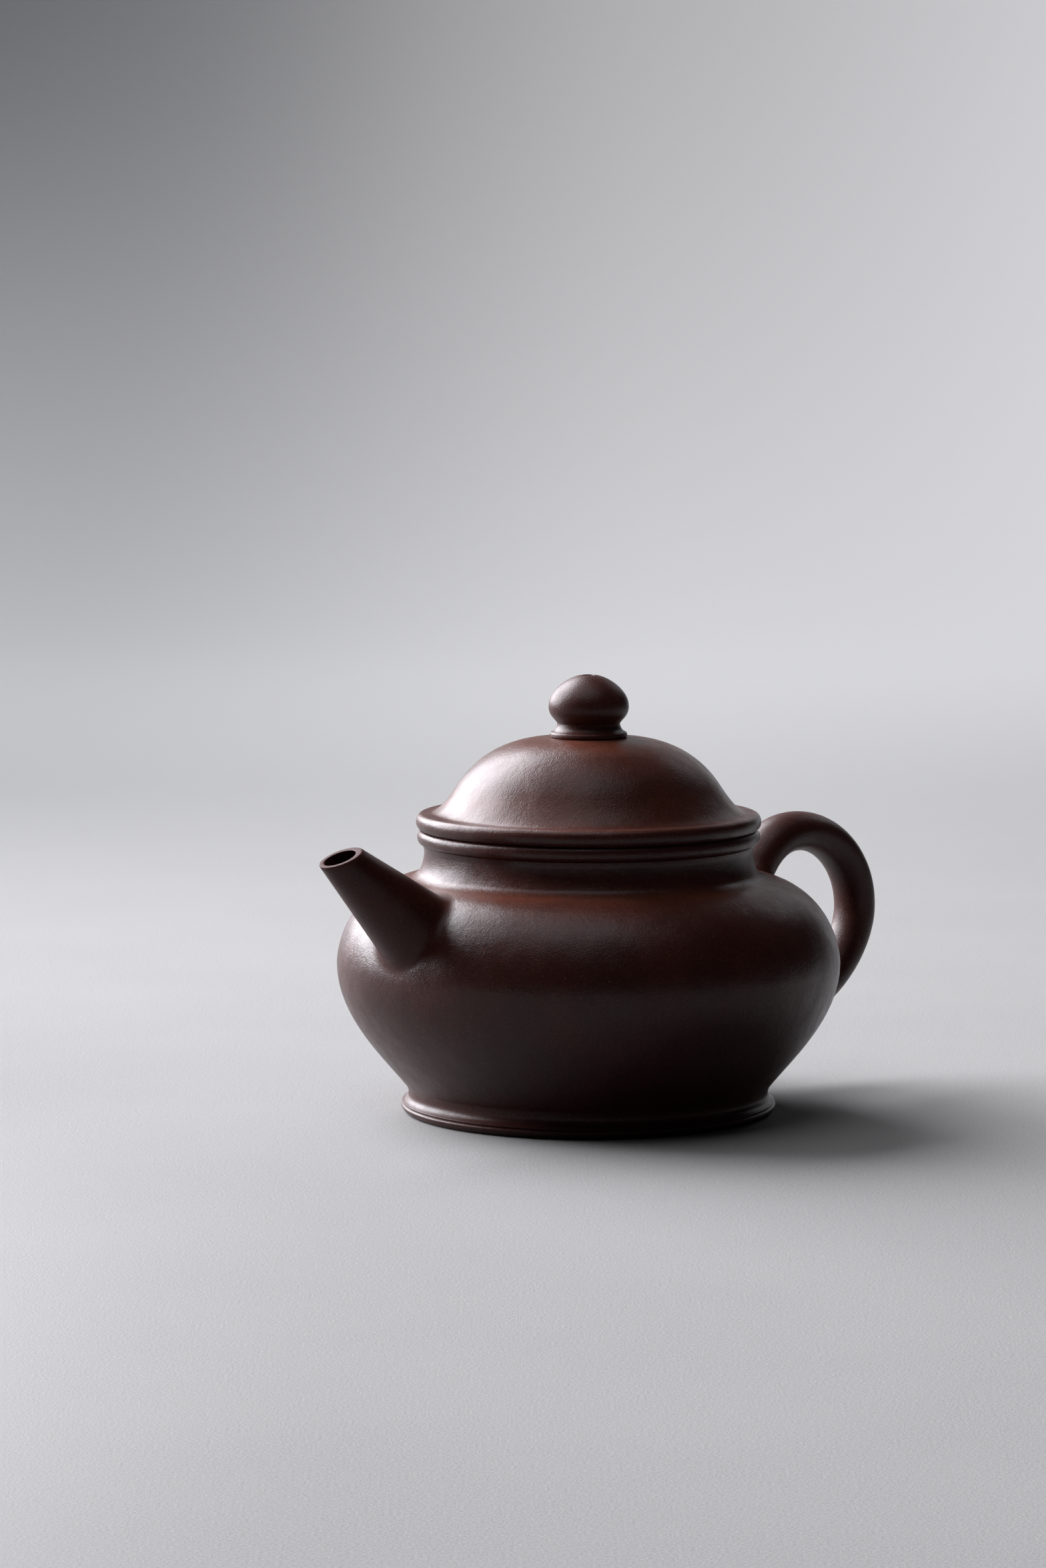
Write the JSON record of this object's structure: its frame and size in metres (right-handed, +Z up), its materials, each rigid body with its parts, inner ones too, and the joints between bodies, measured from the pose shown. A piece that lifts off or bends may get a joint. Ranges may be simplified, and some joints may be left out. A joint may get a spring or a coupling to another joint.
{
  "type": "shui ping teapot",
  "caption": "Small unglazed stoneware teapot with a squat round belly, straight conical spout, ear-shaped handle and a domed lid with a ball knob that lifts off.",
  "frame": {"origin": "middle of the object's length and width, in the foot's resting plane; the pot's turning axis is 4.5 mm from it towards the spout", "axes": "+Z up along the turning axis, -X towards the spout, +X towards the handle"},
  "size_m": [0.1272, 0.0886, 0.0771],
  "materials": {
    "clay": "unglazed purple-brown stoneware, satin with a fine grain",
    "warm_clay": "unglazed purple-brown stoneware, satin with a fine grain, a little redder",
    "burnished_clay": "unglazed purple-brown stoneware, rubbed smooth"
  },
  "bodies": {
    "pot": {"foot_ring": "clay", "base_plate": "clay", "belly_wall": "clay", "shoulder_plate": "warm_clay", "neck_ring": "warm_clay", "rim_lip": "clay", "spout": "burnished_clay", "strainer": "clay", "handle": "burnished_clay"},
    "lid": {"lid_flange": "clay", "lid_lip": "clay", "lid_dome": "warm_clay", "knob_collar": "clay", "knob": "burnished_clay"}
  },
  "joints": [
    {"name": "lid_lift", "type": "slide", "parent": "pot", "child": "lid", "axis": [0, 0, 1], "range_m": [0, 0.04]}
  ]
}
